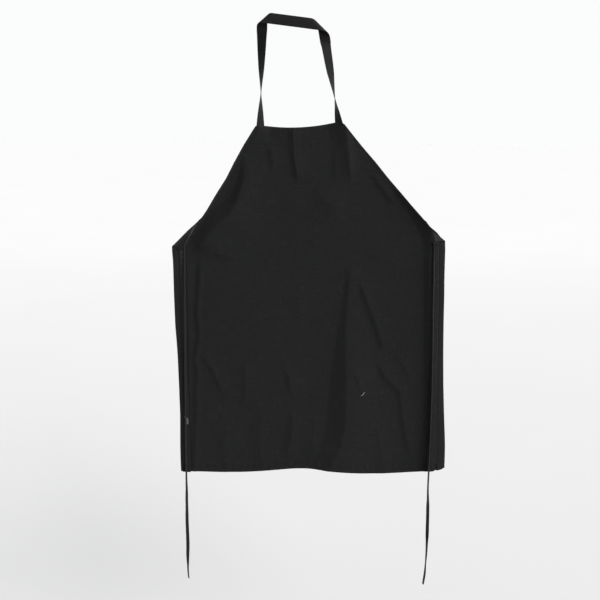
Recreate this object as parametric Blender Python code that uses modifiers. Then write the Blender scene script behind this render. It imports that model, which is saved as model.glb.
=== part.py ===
"""A bib apron of plain dark cloth, hanging by its neck strap.

Frame: +X to the right as seen from the front, +Z up, the front faces -Y, metres.
The origin is the middle of the strap's front band, at the mid plane of the 13 mm thick
hanger that the strap is folded over. The hanger is not part of the object.

The apron hangs a little askew, so its flat pieces are drawn in the apron's own plane
(u to the right of the skirt's centre line, v up from the bib's top edge) and placed by HANG.
Each layer of cloth is a flat solid 0.3 mm clear of the next one.
"""

import math

import bmesh
import bpy
from mathutils import Matrix, Vector

MM = 0.001
GAP = 0.3 * MM

# The cut
SKIRT_HALF = 330.2 * MM
BIB_HALF = 102.7 * MM
BIB_SHIFT = 16.5 * MM  # the bib hangs this far to the left of the skirt's centre line
WAIST_DROP = 286.5 * MM  # from the bib's top edge to the side corners
LENGTH = 860.0 * MM
FLAP_WIDTH = 28.0 * MM  # each side edge is folded forward by this much
ARMHOLE_CONTROL_DROP = 200.0 * MM
ARMHOLE_CONTROL = {-1: 0.51, 1: 0.657}  # share of the way out from bib corner to side
ARMHOLE_STEPS = 18

# The hang
TILT = math.radians(1.65)
BIB_TOP = Vector((18.3, 0.0, -236.9)) * MM  # middle of the bib's top edge

# Layers, front to back
CLOTH = 0.8 * MM
PANEL_FRONT = 8.3 * MM
PANEL_BACK = PANEL_FRONT + CLOTH
FLAP_FRONT = PANEL_FRONT - GAP - CLOTH
SIDE_HEM_FRONT = FLAP_FRONT - GAP - CLOTH
BACK_LAYER = PANEL_BACK + GAP

# Hems and stitching
BIB_HEM = 48.0 * MM
BINDING = 11.0 * MM
BINDING_SPAN = (0.06, 0.97)  # shares of the armhole curve, clear of the strap's sewn end
THREAD_SPAN = (0.02, 0.95)
SIDE_HEM = 12.0 * MM
BOTTOM_HEM = 17.0 * MM
EDGE_INSET = 0.5 * MM
THREAD = 0.25 * MM  # radius
STITCH_INSET = 2.0 * MM  # from a hem's inner edge
BARTACK = 1.6 * MM
BARTACK_THICK = 0.5 * MM

# Neck strap
STRAP_WIDTH = 25.0 * MM
STRAP_THICK = 1.4 * MM
HANGER_HALF = 6.5 * MM
HANGER_CLEAR = 0.05 * MM
WRAP_RADIUS = HANGER_HALF + HANGER_CLEAR + STRAP_THICK / 2
BAND_SLOPE = math.radians(-6.7)
FOLD_REACH = {-1: 66.5 * MM, 1: 64.6 * MM}  # from the band's middle to each fold
STRAP_SEAM = 88.7 * MM  # each sewn end's centre, from the bib's centre
STRAP_TAIL = 35.0 * MM
SWING_RISE = 6.0 * MM  # the swing axis is this far above the bib's top edge
SWING_GAP = 0.9 * MM  # clear of the axis, each way
TAIL_FRONT = BACK_LAYER
TAIL_MIDDLE = TAIL_FRONT + STRAP_THICK / 2
BIB_HEM_FRONT = TAIL_FRONT + STRAP_THICK + GAP
LEG_TWIST = -math.pi  # the inner edge comes forward
STRAP_COLUMNS = 8
WRAP_ROWS = 20
LEG_ROWS = 18
AIM_ROUNDS = 30
HALVINGS = 40

# Waist ties
TIE_WIDTH = 8.0 * MM
TIE_THICK = 1.6 * MM
TIE_TOP_Y = 0.3 * MM  # at the sewn end
TIE_Y = -3.2 * MM  # where it hangs free
TIE_SETTLE = 0.12  # share of the length over which it comes forward
TIE_TAB = 16.0 * MM
TAB_THICK = 1.4 * MM
TAB_FRONT = SIDE_HEM_FRONT - GAP - TAB_THICK
# Each tie's route (x, z) in mm, from its sewn end down, and (share of length, turn in degrees):
# 90 is edge-on to the front and 0 is face-on.
TIE_ROUTE = {
    -1: [
        (-257.9, -532.0),
        (-258.0, -590.0),
        (-258.2, -660.0),
        (-258.5, -735.0),
        (-258.8, -810.0),
        (-259.0, -885.0),
        (-259.1, -960.0),
        (-259.1, -1035.0),
        (-258.9, -1104.0),
        (-258.6, -1160.0),
        (-258.2, -1225.0),
        (-257.8, -1288.0),
        (-257.3, -1325.0),
        (-256.8, -1357.0),
        (-256.4, -1385.0),
    ],
    1: [
        (344.0, -514.6),
        (344.1, -560.0),
        (345.2, -630.0),
        (346.6, -700.0),
        (347.9, -775.0),
        (349.0, -850.0),
        (349.9, -925.0),
        (350.7, -1000.0),
        (351.4, -1078.0),
        (352.2, -1140.0),
        (353.0, -1205.0),
        (353.4, -1255.0),
        (352.6, -1310.0),
        (350.6, -1362.0),
        (347.4, -1396.0),
    ],
}
TIE_TURN = {
    -1: [(0.0, 90), (0.62, 90), (0.77, 50), (0.88, 0), (0.97, -90), (1.0, -100)],
    1: [(0.0, 90), (0.66, 90), (0.74, 50), (0.81, 0), (0.9, -80), (1.0, -95)],
}
TIE_ROWS = 64

# Care label, on the left flap
LABEL_SIZE = (9.0 * MM, 22.0 * MM)
LABEL_THICK = 0.4 * MM
LABEL_EDGE = (-318.5 * MM, -738.7 * MM)  # u and v of its lower left corner

COLOURS = {
    "apron_cloth": ((0.020, 0.021, 0.022, 1.0), 0.9),
    "strap_webbing": ((0.017, 0.017, 0.018, 1.0), 0.8),
    "tie_tape": ((0.018, 0.018, 0.019, 1.0), 0.8),
    "thread": ((0.024, 0.024, 0.026, 1.0), 0.6),
    "label": ((0.62, 0.62, 0.60, 1.0), 0.55),
}

SKIRT_ORIGIN = BIB_TOP + BIB_SHIFT * Vector((math.cos(TILT), 0, math.sin(TILT)))
HANG = Matrix.Translation(SKIRT_ORIGIN) @ Matrix.Rotation(-TILT, 4, "Y")


def clear_scene():
    for obj in list(bpy.data.objects):
        bpy.data.objects.remove(obj, do_unlink=True)


def make_material(name):
    colour, roughness = COLOURS[name]
    material = bpy.data.materials.new(name)
    material.use_nodes = True
    shader = material.node_tree.nodes["Principled BSDF"]
    shader.inputs["Base Color"].default_value = colour
    shader.inputs["Roughness"].default_value = roughness
    shader.inputs["Metallic"].default_value = 0.0
    material.diffuse_color = colour
    return material


def add_object(name, data, material, pivot, world):
    """Links an object at world, and hands it to its body's pivot without moving it."""
    obj = bpy.data.objects.new(name, data)
    own = material.copy()
    own.name = name + "_material"
    data.materials.append(own)
    apron.objects.link(obj)
    obj.parent = pivot
    obj.matrix_parent_inverse = pivot.matrix_world.inverted()
    obj.matrix_basis = world
    return obj


def add_pivot(name, place):
    empty = bpy.data.objects.new(name, None)
    empty.empty_display_size = 0.02
    empty.matrix_world = Matrix.Translation(place) @ Matrix.Rotation(-TILT, 4, "Y")
    apron.objects.link(empty)
    bpy.context.view_layer.update()
    return empty


def on_apron(u, v, y=0.0):
    """A point of the apron's own plane, in the world."""
    return HANG @ Vector((u, y, v))


# --- flat layers and threads -------------------------------------------------------------


def flat_piece(name, outline, front, thick, material, pivot):
    """A flat piece with its front face at y = front, from an outline of (u, v)."""
    curve = bpy.data.curves.new(name, "CURVE")
    curve.dimensions = "2D"
    curve.fill_mode = "BOTH"
    curve.extrude = thick / 2
    spline = curve.splines.new("POLY")
    spline.points.add(len(outline) - 1)
    for point, (u, v) in zip(spline.points, outline):
        point.co = (u, v, 0.0, 1.0)
    spline.use_cyclic_u = True
    stand_up = Matrix.Translation((0, front + thick / 2, 0)) @ Matrix.Rotation(
        math.pi / 2, 4, "X"
    )
    return add_object(name, curve, material, pivot, HANG @ stand_up)


def thread_line(name, path, front, pivot):
    """A sewn thread lying on the face at y = front, along a path of (u, v)."""
    curve = bpy.data.curves.new(name, "CURVE")
    curve.dimensions = "3D"
    curve.bevel_depth = THREAD
    curve.bevel_resolution = 0
    curve.use_fill_caps = True
    spline = curve.splines.new("POLY")
    spline.points.add(len(path) - 1)
    for point, (u, v) in zip(spline.points, path):
        point.co = (u, front - GAP - THREAD, v, 1.0)
    return add_object(name, curve, materials["thread"], pivot, HANG)


def rectangle(low, high):
    return [low, (high[0], low[1]), high, (low[0], high[1])]


def bib_corner(side):
    return Vector((side * BIB_HALF - BIB_SHIFT, 0.0))


def armhole(side, share):
    """(point, unit direction along it) of the armhole's edge, from the bib at 0 to the side at 1."""
    start = bib_corner(side)
    end = Vector((side * SKIRT_HALF, -WAIST_DROP))
    control = Vector(
        (start.x + (end.x - start.x) * ARMHOLE_CONTROL[side], -ARMHOLE_CONTROL_DROP)
    )
    rest = 1 - share
    point = start * rest * rest + control * 2 * rest * share + end * share * share
    along = (control - start) * rest + (end - control) * share
    return point, along.normalized()


def armhole_line(side, inset, first, last):
    """Points along the armhole, inset into the cloth, from share first to share last."""
    line = []
    for i in range(ARMHOLE_STEPS + 1):
        share = first + (last - first) * i / ARMHOLE_STEPS
        point, along = armhole(side, share)
        inward = Vector((along.y, -along.x)) * side
        line.append(tuple(point + inward * inset))
    return line


def armhole_at(side, drop):
    """The armhole edge's u at a drop below the bib's top edge."""
    low, high = 0.0, 1.0
    for _ in range(HALVINGS):
        middle = (low + high) / 2
        if -armhole(side, middle)[0].y < drop:
            low = middle
        else:
            high = middle
    return armhole(side, low)[0].x


def make_panel():
    outline = [(-SKIRT_HALF, -LENGTH), (SKIRT_HALF, -LENGTH)]
    outline += armhole_line(1, 0.0, 1.0, 0.0) + armhole_line(-1, 0.0, 0.0, 1.0)
    flat_piece(
        "front_panel", outline, PANEL_FRONT, CLOTH, materials["apron_cloth"], panel_pivot
    )


def make_panel_hems():
    cloth = materials["apron_cloth"]
    bib = [(armhole_at(s, BIB_HEM) - s * EDGE_INSET, -BIB_HEM) for s in (-1, 1)]
    top = [(bib_corner(s).x - s * EDGE_INSET, -EDGE_INSET) for s in (1, -1)]
    flat_piece("bib_hem", bib + top, BIB_HEM_FRONT, CLOTH, cloth, panel_pivot)
    half = SKIRT_HALF - EDGE_INSET
    flat_piece(
        "bottom_hem",
        rectangle((-half, EDGE_INSET - LENGTH), (half, BOTTOM_HEM - LENGTH)),
        BACK_LAYER,
        CLOTH,
        cloth,
        panel_pivot,
    )
    for side, name in SIDES:
        outer = armhole_line(side, EDGE_INSET, *BINDING_SPAN)
        inner = armhole_line(side, BINDING, *BINDING_SPAN)
        flat_piece(
            name + "_armhole_binding",
            outer + inner[::-1],
            BACK_LAYER,
            CLOTH,
            cloth,
            panel_pivot,
        )


def make_panel_stitching():
    drop = BIB_HEM - STITCH_INSET
    margin = BINDING + STITCH_INSET
    ends = [(armhole_at(s, drop) - s * margin, -drop) for s in (-1, 1)]
    thread_line("bib_stitching", ends, PANEL_FRONT, panel_pivot)
    half = SKIRT_HALF - FLAP_WIDTH - STITCH_INSET
    height = BOTTOM_HEM - STITCH_INSET - LENGTH
    thread_line(
        "bottom_stitching", [(-half, height), (half, height)], PANEL_FRONT, panel_pivot
    )
    for side, name in SIDES:
        path = armhole_line(side, BINDING - STITCH_INSET, *THREAD_SPAN)
        thread_line(name + "_armhole_stitching", path, PANEL_FRONT, panel_pivot)


def make_strap_ends():
    for side, name in SIDES:
        centre = side * STRAP_SEAM - BIB_SHIFT
        half = STRAP_WIDTH / 2
        flat_piece(
            name + "_strap_end",
            rectangle(
                (centre - half, -STRAP_TAIL), (centre + half, SWING_RISE - SWING_GAP)
            ),
            TAIL_FRONT,
            STRAP_THICK,
            materials["strap_webbing"],
            panel_pivot,
        )
        flat_piece(
            name + "_strap_bartack",
            rectangle(
                (centre - half + BARTACK, -3 * BARTACK),
                (centre + half - BARTACK, -2 * BARTACK),
            ),
            PANEL_FRONT - GAP - BARTACK_THICK,
            BARTACK_THICK,
            materials["thread"],
            panel_pivot,
        )


# --- side flaps --------------------------------------------------------------------------


def make_flap(side, name, pivot):
    """The side edge folded forward, with its hem, thread, tie end and, on the left, the label."""
    cloth = materials["apron_cloth"]
    free = SKIRT_HALF - FLAP_WIDTH  # the folded edge's distance from the centre line

    def across(distance):
        return side * (free + distance)

    flat_piece(
        name + "_side_flap",
        rectangle((across(0.0), -LENGTH), (across(FLAP_WIDTH), -WAIST_DROP)),
        FLAP_FRONT,
        CLOTH,
        cloth,
        pivot,
    )
    top = -WAIST_DROP - EDGE_INSET
    low = EDGE_INSET - LENGTH
    hem = [
        (across(EDGE_INSET), top),
        (across(SIDE_HEM), top),
        (across(SIDE_HEM), BOTTOM_HEM - LENGTH),
        (across(FLAP_WIDTH - EDGE_INSET), BOTTOM_HEM - LENGTH),
        (across(FLAP_WIDTH - EDGE_INSET), low),
        (across(EDGE_INSET), low),
    ]
    flat_piece(name + "_side_hem", hem, SIDE_HEM_FRONT, CLOTH, cloth, pivot)
    line = across(SIDE_HEM - STITCH_INSET)
    thread_line(
        name + "_side_stitching",
        [(line, top - TIE_WIDTH - 2 * STITCH_INSET), (line, low + STITCH_INSET)],
        SIDE_HEM_FRONT,
        pivot,
    )
    tab_top = top - EDGE_INSET
    flat_piece(
        name + "_tie_end",
        rectangle((across(0.0), tab_top - TIE_WIDTH), (across(TIE_TAB), tab_top)),
        TAB_FRONT,
        TAB_THICK,
        materials["tie_tape"],
        pivot,
    )
    flat_piece(
        name + "_tie_bartack",
        rectangle(
            (across(TIE_TAB / 2), tab_top - TIE_WIDTH + BARTACK / 2),
            (across(TIE_TAB / 2 + BARTACK), tab_top - BARTACK / 2),
        ),
        TAB_FRONT - GAP - BARTACK_THICK,
        BARTACK_THICK,
        materials["thread"],
        pivot,
    )


def make_label(pivot):
    width, height = LABEL_SIZE
    u, v = LABEL_EDGE
    flat_piece(
        "care_label",
        rectangle((u, v), (u + width, v + height)),
        SIDE_HEM_FRONT - 2 * GAP - 2 * THREAD - LABEL_THICK,
        LABEL_THICK,
        materials["label"],
        pivot,
    )


# --- ribbons: the neck strap and the ties ------------------------------------------------


def smooth(share):
    share = min(1.0, max(0.0, share))
    return share * share * (3 - 2 * share)


def ribbon(name, stations, columns, surface, thick, material, pivot):
    """A strip whose middle surface is surface(station, across), with across from -0.5 to 0.5."""
    mesh = bpy.data.meshes.new(name)
    shape = bmesh.new()
    rows = len(stations) - 1
    bmesh.ops.create_grid(shape, x_segments=columns, y_segments=rows, size=0.5)
    for vert in shape.verts:
        station = stations[round((vert.co.y + 0.5) * rows)]
        vert.co = surface(station, vert.co.x)
    shape.to_mesh(mesh)
    shape.free()
    obj = add_object(name, mesh, material, pivot, Matrix.Identity(4))
    mesh.shade_smooth()
    solid = obj.modifiers.new("thickness", "SOLIDIFY")
    solid.thickness = thick
    solid.offset = 0.0
    return obj


def unit(angle):
    return Vector((math.cos(angle), math.sin(angle)))


class StrapSide:
    """Half of the strap: it runs out along the band, round the hanger and down to its seam.

    The strip is unrolled as a straight one. Its fold is a half turn on a cylinder of
    WRAP_RADIUS, whose axis is at the angle that sends the leg to its seam.
    """

    def __init__(self, side):
        self.out = unit(BAND_SLOPE) * side
        self.up = unit(BAND_SLOPE + math.pi / 2)
        u = side * STRAP_SEAM - BIB_SHIFT
        seam = on_apron(u, SWING_RISE + SWING_GAP)
        self.seam = Vector((seam.x, seam.z))
        leg = Vector((0.0, -1.0))
        for _ in range(AIM_ROUNDS):
            self.axis = (self.out + leg).normalized()
            normal = self.out - self.axis * self.out.dot(self.axis)
            self.normal = normal.normalized()
            self.centre = self.out * FOLD_REACH[side] - self.normal * WRAP_RADIUS
            rate = self.out.dot(self.normal)
            half_turn = math.pi * WRAP_RADIUS
            self.wrap_start = self.centre.dot(self.normal) / rate
            self.wrap_end = self.wrap_start + half_turn / rate
            exit_point = self.rolled(self.out * self.wrap_end)
            leg = (self.seam - Vector((exit_point.x, exit_point.z))).normalized()
            self.spread = STRAP_WIDTH / 2 * abs(self.up.dot(self.normal)) / rate
            length = (self.seam - Vector((exit_point.x, exit_point.z))).length
            self.end = self.wrap_end + length
        self.across = self.up - self.normal * 2 * self.up.dot(self.normal)
        bib_edge = unit(TILT)
        self.end_across = bib_edge if self.across.dot(bib_edge) > 0 else -bib_edge

    def rolled(self, flat):
        """A point of the unrolled strip, rolled on to the cylinder."""
        from_axis = flat - self.centre
        out = from_axis.dot(self.normal)
        along = self.centre + self.axis * from_axis.dot(self.axis)
        turn = min(max(out / WRAP_RADIUS, 0.0), math.pi)
        past = out - turn * WRAP_RADIUS
        reach = WRAP_RADIUS * math.sin(turn) + past * math.cos(turn)
        place = along + self.normal * reach
        return Vector((place.x, -WRAP_RADIUS * math.cos(turn), place.y))

    def surface(self, distance, across):
        """A point of the strap, by its distance from the band's middle."""
        level = self.wrap_end + self.spread
        if distance <= level:
            return self.rolled(self.out * distance + self.up * across * STRAP_WIDTH)
        share = (distance - level) / (self.end - level)
        middle = self.rolled(self.out * distance)
        middle.y += (TAIL_MIDDLE - WRAP_RADIUS) * smooth(share)
        turn = LEG_TWIST * smooth(share)
        flat = self.across.lerp(self.end_across, smooth(share)) * math.cos(turn)
        edge = Vector((flat.x, math.sin(turn), flat.y))
        return middle + edge * across * STRAP_WIDTH

    def stations(self):
        wrap_low = self.wrap_start - self.spread
        level = self.wrap_end + self.spread
        wrap = [wrap_low + (level - wrap_low) * i / WRAP_ROWS for i in range(WRAP_ROWS)]
        leg = [level + (self.end - level) * i / LEG_ROWS for i in range(LEG_ROWS + 1)]
        return wrap + leg


def make_neck_strap():
    left, right = StrapSide(-1), StrapSide(1)
    stations = [-d for d in reversed(left.stations())] + [0.0] + right.stations()

    def surface(station, across):
        half = left if station < 0 else right
        return half.surface(abs(station), across)

    ribbon(
        "neck_strap",
        stations,
        STRAP_COLUMNS,
        surface,
        STRAP_THICK,
        materials["strap_webbing"],
        strap_pivot,
    )


def between(keys, share):
    """A value read smoothly from (share, value) keys."""
    for (low, first), (high, last) in zip(keys, keys[1:]):
        if share <= high:
            return first + (last - first) * smooth((share - low) / (high - low))
    return keys[-1][1]


def along_route(route, share):
    """A point of the smooth curve through a route's points, by its share of them."""
    points = [Vector(p) for p in route]
    place = share * (len(points) - 1)
    i = min(int(place), len(points) - 2)
    t = place - i
    before = points[i - 1] if i > 0 else points[0] * 2 - points[1]
    after = points[i + 2] if i + 2 < len(points) else points[-1] * 2 - points[-2]
    a, b = points[i], points[i + 1]
    return 0.5 * (
        2 * a
        + (b - before) * t
        + (2 * before - 5 * a + 4 * b - after) * t * t
        + (3 * a - before - 3 * b + after) * t * t * t
    )


def make_tie(side, name, pivot):
    def surface(station, across):
        x, z = along_route(TIE_ROUTE[side], station) * MM
        turn = math.radians(between(TIE_TURN[side], station))
        edge = Vector((math.cos(turn), math.sin(turn), 0.0)) * across * TIE_WIDTH
        y = TIE_TOP_Y + (TIE_Y - TIE_TOP_Y) * smooth(station / TIE_SETTLE)
        return Vector((x, y, z)) + edge

    stations = [i / TIE_ROWS for i in range(TIE_ROWS + 1)]
    ribbon(
        name + "_waist_tie",
        stations,
        1,
        surface,
        TIE_THICK,
        materials["tie_tape"],
        pivot,
    )


SIDES = ((-1, "left"), (1, "right"))

clear_scene()
apron = bpy.data.collections.new("artist_apron")
bpy.context.scene.collection.children.link(apron)
materials = {name: make_material(name) for name in COLOURS}

strap_pivot = add_pivot("neck_strap_hold", Vector((0, 0, 0)))
panel_pivot = add_pivot("panel_swing_axis", on_apron(-BIB_SHIFT, SWING_RISE, TAIL_MIDDLE))

make_neck_strap()
make_panel()
make_panel_hems()
make_panel_stitching()
make_strap_ends()
for side, name in SIDES:
    fold = on_apron(
        side * (SKIRT_HALF + GAP / 2),
        -(WAIST_DROP + LENGTH) / 2,
        PANEL_FRONT - GAP / 2,
    )
    flap_pivot = add_pivot(name + "_flap_fold_axis", fold)
    make_flap(side, name, flap_pivot)
    if side < 0:
        make_label(flap_pivot)
    x, z = TIE_ROUTE[side][0]
    tie_top = Vector((x * MM, TIE_TOP_Y, z * MM))
    tie_pivot = add_pivot(name + "_tie_swing_axis", tie_top)
    make_tie(side, name, tie_pivot)
for material in materials.values():
    bpy.data.materials.remove(material)
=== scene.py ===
"""The visual model of a plain dark bib apron that hangs by its neck strap.

Everything is in the row frame, in metres: +X right, +Z up, the front faces -Y. Shapes are worked
out in millimetres and in the apron's own plane: u to the right of the skirt's centre line and
v up from the bib's top edge, which the hang tilts by 1.65 degrees.
"""

import math

import bpy
import numpy as np
from mathutils import Matrix, Vector


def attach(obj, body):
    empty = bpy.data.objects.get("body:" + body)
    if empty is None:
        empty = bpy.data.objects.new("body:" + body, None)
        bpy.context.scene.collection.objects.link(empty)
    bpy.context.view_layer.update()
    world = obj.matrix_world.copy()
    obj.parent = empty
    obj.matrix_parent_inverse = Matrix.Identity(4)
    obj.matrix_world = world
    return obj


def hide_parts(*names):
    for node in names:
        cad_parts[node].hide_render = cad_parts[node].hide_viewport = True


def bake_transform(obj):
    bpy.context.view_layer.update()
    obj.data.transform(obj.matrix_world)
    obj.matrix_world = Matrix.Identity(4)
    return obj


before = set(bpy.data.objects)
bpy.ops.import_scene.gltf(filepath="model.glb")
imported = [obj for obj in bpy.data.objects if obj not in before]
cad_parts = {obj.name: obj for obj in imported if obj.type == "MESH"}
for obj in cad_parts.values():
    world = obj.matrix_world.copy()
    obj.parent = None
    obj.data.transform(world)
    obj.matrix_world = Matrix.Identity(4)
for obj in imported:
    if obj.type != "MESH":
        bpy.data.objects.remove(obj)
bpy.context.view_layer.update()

MM = 0.001

# --- Camera, light and floor ---

CAMERA_AT = (23.3, -2554.8, -225.0)
CAMERA_DOWN = 9.7
CAMERA_ROLL = 0.52
LENS = 63.54

scene = bpy.context.scene
scene.view_settings.view_transform = "Standard"

camera_data = bpy.data.cameras.new("camera")
camera_data.lens = LENS
camera_data.sensor_width = 36.0
camera_data.clip_end = 200.0
camera = bpy.data.objects.new("camera", camera_data)
camera.matrix_world = (
    Matrix.Translation(Vector(CAMERA_AT) * MM)
    @ Matrix.Rotation(math.radians(90 - CAMERA_DOWN), 4, "X")
    @ Matrix.Rotation(math.radians(CAMERA_ROLL), 4, "Z")
)
scene.collection.objects.link(camera)
scene.camera = camera

key_data = bpy.data.lights.new("key", "SUN")
key_data.energy = 8.0
key_data.angle = math.radians(66)
key_data.color = (1.0, 0.99, 0.975)
key = bpy.data.objects.new("key", key_data)
key.rotation_euler = Vector((-0.78, 0.50, -0.37)).to_track_quat("-Z", "Y").to_euler()
scene.collection.objects.link(key)

world = bpy.data.worlds.new("studio")
world.use_nodes = True
world.node_tree.nodes["Background"].inputs["Color"].default_value = (0.965, 0.97, 0.975, 1)
world.node_tree.nodes["Background"].inputs["Strength"].default_value = 1.0
scene.world = world

# --- Materials ---


class Shader:
    """A Principled material and short ways to add nodes to it."""

    def __init__(self, name, colour, roughness, specular, sheen=0.0, sheen_roughness=0.5):
        self.material = bpy.data.materials.new(name)
        self.material.use_nodes = True
        self.material.diffuse_color = (*colour, 1)
        self.tree = self.material.node_tree
        self.principled = self.set_all(
            self.tree.nodes["Principled BSDF"],
            Base_Color=(*colour, 1),
            Roughness=roughness,
            Specular_IOR_Level=specular,
            Sheen_Weight=sheen,
            Sheen_Roughness=sheen_roughness,
        )

    def set(self, node, socket, value):
        if isinstance(value, bpy.types.NodeSocket):
            self.tree.links.new(value, node.inputs[socket])
        else:
            node.inputs[socket].default_value = value

    def set_all(self, node, **sockets):
        """Sets or links sockets by name, with _ for each space."""
        for key, value in sockets.items():
            self.set(node, key.replace("_", " "), value)
        return node

    def add(self, kind, settings=None, **sockets):
        node = self.tree.nodes.new(kind)
        for key, value in (settings or {}).items():
            setattr(node, key, value)
        return self.set_all(node, **sockets)

    def uv(self):
        return self.add("ShaderNodeUVMap", {"uv_map": "cloth"}).outputs["UV"]

    def place(self):
        return self.add("ShaderNodeTexCoord").outputs["Object"]

    def noise(self, vector, scale, detail=2.0, rough=0.5):
        node = self.add(
            "ShaderNodeTexNoise", Scale=scale, Detail=detail, Roughness=rough, Vector=vector
        )
        return node.outputs["Fac"]

    def streaks(self, vector, x, y, detail=2.0, rough=0.6):
        """Noise drawn out by its own scale each way."""
        node = self.add("ShaderNodeMapping", Vector=vector, Scale=(x, y, 1.0))
        return self.noise(node.outputs["Vector"], 1.0, detail, rough)

    def wave(self, vector, axis, scale, distortion=0.0):
        settings = {"wave_type": "BANDS", "bands_direction": axis, "wave_profile": "SIN"}
        sockets = {"Scale": scale, "Distortion": distortion, "Detail": 0.0, "Vector": vector}
        return self.add("ShaderNodeTexWave", settings, **sockets).outputs["Fac"]

    def math(self, operation, a, b):
        node = self.add("ShaderNodeMath", {"operation": operation})
        for i, value in enumerate((a, b, 0.0)):
            self.set(node, i, value)
        return node.outputs["Value"]

    def span(self, value, low, high, out_low, out_high):
        sockets = {"From_Min": low, "From_Max": high, "To_Min": out_low, "To_Max": out_high}
        return self.add("ShaderNodeMapRange", Value=value, **sockets).outputs["Result"]

    def mix(self, share, a, b):
        node = self.add("ShaderNodeMix", {"data_type": "RGBA"})
        self.set(node, 0, share)
        for socket, colour in ((6, a), (7, b)):
            self.set(node, socket, (*colour, 1) if isinstance(colour, tuple) else colour)
        return node.outputs[2]

    def fleck(self, base, value, low, high, share, colour):
        """The base with a colour over it, by up to share, where value goes from low to high."""
        return self.mix(self.span(value, low, high, 0.0, share), base, colour)

    def bump(self, height, distance, strength, **under):
        sockets = {"Strength": strength, "Distance": distance, "Height": height, **under}
        return self.add("ShaderNodeBump", **sockets).outputs["Normal"]

    def wear_and_painted_light(self):
        return self.add("ShaderNodeAttribute", {"attribute_name": "wear_and_painted_light"}).outputs["Fac"]

    def finish(self, base, **others):
        self.set_all(self.principled, Base_Color=base, **others)
        return self.material


def make_cloth():
    """Plain-woven cotton: slubs along both threads, washed patches, lint, paler worn folds, and
    colour painted paler for light and darker for shade.
    """
    s = Shader("apron_cloth", (0.0064, 0.0066, 0.0066), 0.92, 0.03, 0.02, 0.6)
    uv = s.uv()
    patches = s.noise(uv, 9.0, 3.0, 0.6)
    slub = s.math("ADD", s.streaks(uv, 620, 34), s.streaks(uv, 30, 560))
    speckle = s.noise(uv, 330.0, 2.0, 0.7)
    lint = s.streaks(uv, 190, 150, 1.0, 0.5)
    base = s.mix(patches, (0.0056, 0.0058, 0.0059), (0.0070, 0.0072, 0.0072))
    base = s.fleck(base, slub, 1.02, 1.35, 0.8, (0.0115, 0.0118, 0.0118))
    base = s.fleck(base, speckle, 0.60, 0.78, 0.7, (0.0150, 0.0153, 0.0153))
    base = s.fleck(base, speckle, 0.40, 0.26, 0.6, (0.0036, 0.0037, 0.0038))
    base = s.fleck(base, lint, 0.775, 0.80, 0.55, (0.040, 0.040, 0.038))
    wear_and_painted_light = s.wear_and_painted_light()
    # Above zero the cloth turns paler: real wear at edges and folds, and painted light where it
    # lifts shadows by the flaps and ties.
    paler_share = s.math("MULTIPLY", wear_and_painted_light, s.span(speckle, 0.3, 0.7, 0.45, 1.0))
    base = s.mix(paler_share, base, (0.0200, 0.0203, 0.0202))
    # Below zero, painted shade darkens the cloth towards near black in creases, seams and the
    # folded corners.
    base = s.mix(s.math("MULTIPLY", wear_and_painted_light, -1.0), base, (0.0012, 0.0012, 0.0013))
    weave = s.math("MULTIPLY", s.wave(uv, "X", 180.0, 0.4), s.wave(uv, "Y", 180.0, 0.4))
    weave = s.math("ADD", weave, s.math("MULTIPLY", slub, 0.5))
    fine = s.bump(weave, 0.00022, 0.7)
    crumple = s.bump(s.noise(uv, 42.0, 3.0, 0.55), 0.0011, 0.55, Normal=fine)
    return s.finish(base, Roughness=s.span(patches, 0.3, 0.7, 0.86, 0.97), Normal=crumple)


def make_tape(name, tint, ribs, cross, shine):
    """Woven tape: fine cross ribs, firmer edges and a slight lengthwise grain."""
    tinted = lambda level: tuple(level * t for t in tint)
    s = Shader(name, tinted(0.0050), 0.6, shine, 0.02, 0.5)
    uv = s.uv()
    grain = s.streaks(uv, 900, 40)
    dust = s.noise(uv, 260.0, 2.0, 0.6)
    base = s.mix(grain, tinted(0.0022), tinted(0.0042))
    base = s.fleck(base, dust, 0.62, 0.78, 0.6, (0.018, 0.018, 0.018))
    base = s.mix(s.math("MULTIPLY", s.wear_and_painted_light(), 0.5), base, (0.012, 0.012, 0.012))
    lengthwise = s.math("MULTIPLY", s.wave(uv, "X", cross, 0.3), 0.5)
    height = s.math("ADD", s.wave(uv, "Y", ribs, 0.3), lengthwise)
    roughness = s.span(grain, 0.3, 0.7, 0.50, 0.62)
    return s.finish(base, Roughness=roughness, Normal=s.bump(height, 0.0003, 0.7))


def make_thread():
    s = Shader("thread", (0.0100, 0.0100, 0.0105), 0.55, 0.12, 0.02, 0.4)
    twist = s.wave(s.place(), "DIAGONAL", 1100.0, 1.0)
    base = s.mix(twist, (0.0075, 0.0075, 0.0080), (0.0150, 0.0150, 0.0158))
    return s.finish(base, Normal=s.bump(twist, 0.0001, 0.6))


def make_label_cloth():
    s = Shader("label", (0.085, 0.085, 0.083), 0.5, 0.15, 0.02, 0.3)
    satin = s.streaks(s.uv(), 2200, 90, 2.0, 0.5)
    base = s.mix(satin, (0.070, 0.070, 0.068), (0.100, 0.100, 0.097))
    roughness = s.span(satin, 0.3, 0.7, 0.36, 0.55)
    return s.finish(base, Roughness=roughness, Normal=s.bump(satin, 0.0001, 0.5))


def make_lint():
    s = Shader("lint", (0.30, 0.28, 0.25), 0.9, 0.2, 0.4, 0.5)
    fuzz = s.noise(s.place(), 900.0, 2.0, 0.6)
    return s.finish(s.mix(fuzz, (0.2, 0.19, 0.17), (0.42, 0.40, 0.36)))


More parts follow.
